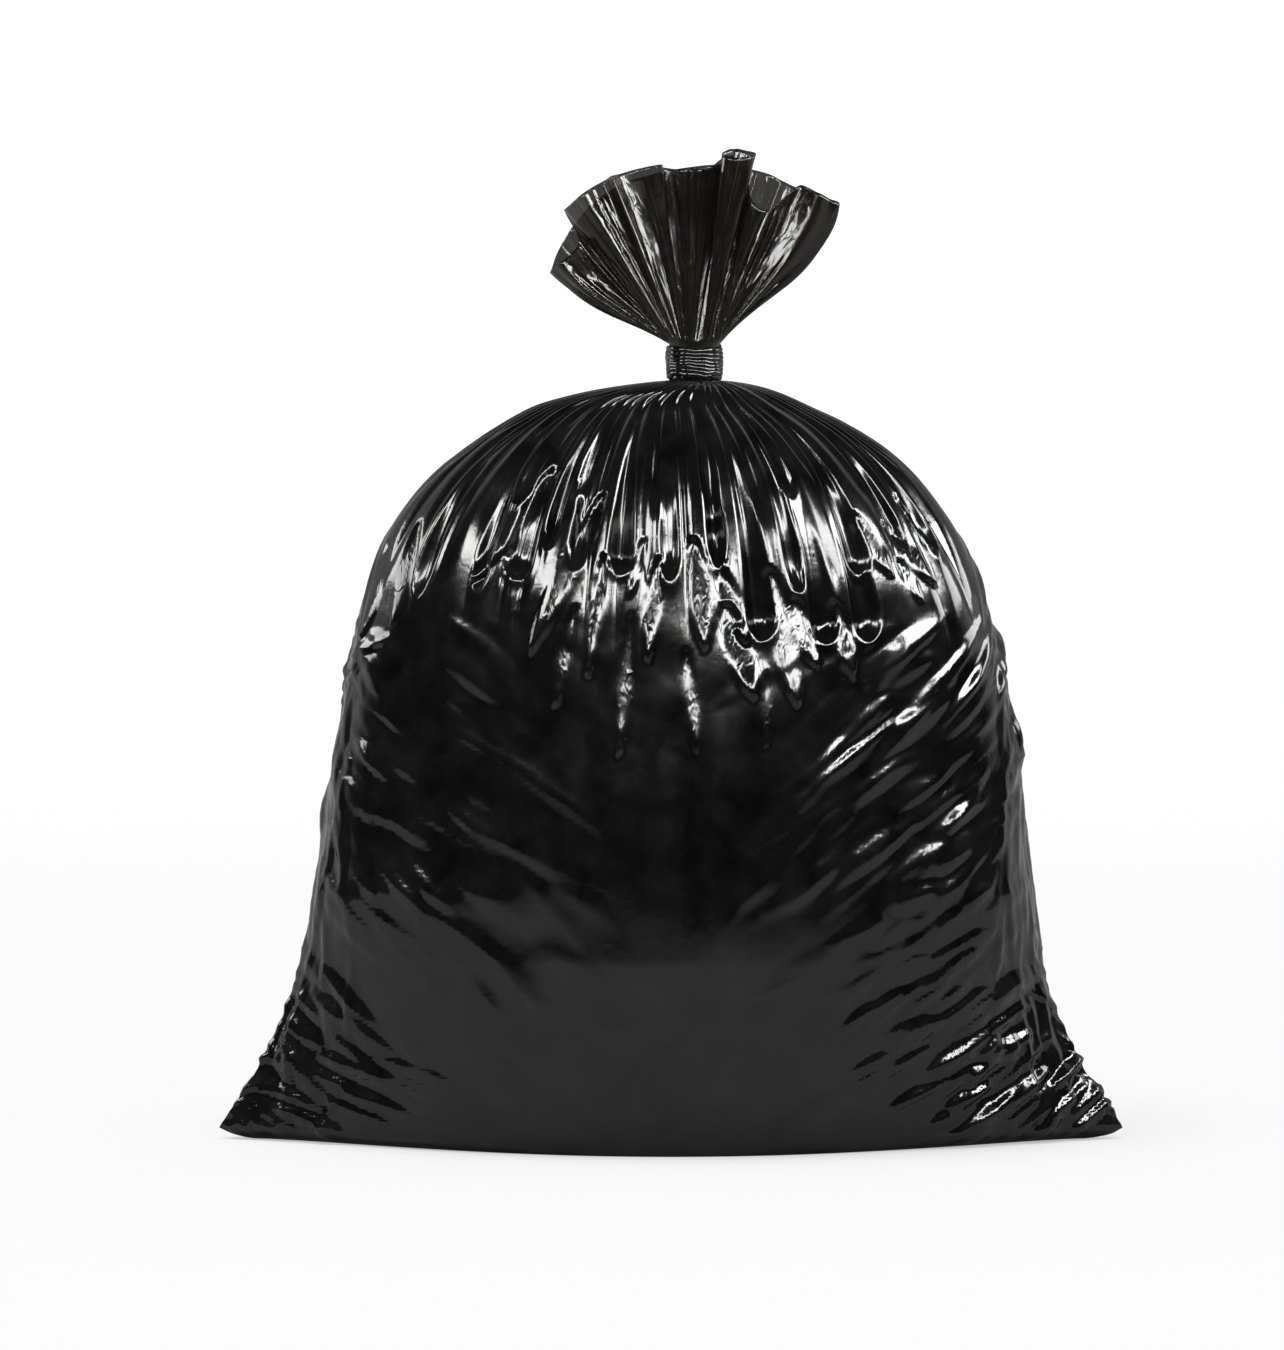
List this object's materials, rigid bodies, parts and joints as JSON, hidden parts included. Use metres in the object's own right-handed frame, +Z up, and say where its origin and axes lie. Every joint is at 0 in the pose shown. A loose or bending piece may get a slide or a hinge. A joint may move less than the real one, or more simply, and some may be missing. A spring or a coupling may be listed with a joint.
{
  "type": "full bin bag",
  "caption": "Full black refuse sack with a broad body, pointed bottom corners, gathered shoulder folds, a wound tie at the neck and a fanned frill on top.",
  "frame": {"origin": "on the floor, under the middle of the bag's box", "axes": "+Z up from the floor to the frill, +X to the right across the wide front, -Y out of the front"},
  "size_m": [0.7061, 0.3416, 0.768],
  "materials": {
    "film": "blown black film, glossy, crinkled",
    "tie": "twisted strip of black film, glossy"
  },
  "bodies": {
    "root": {"bag": "film", "neck_tie": "tie"}
  },
  "joints": []
}
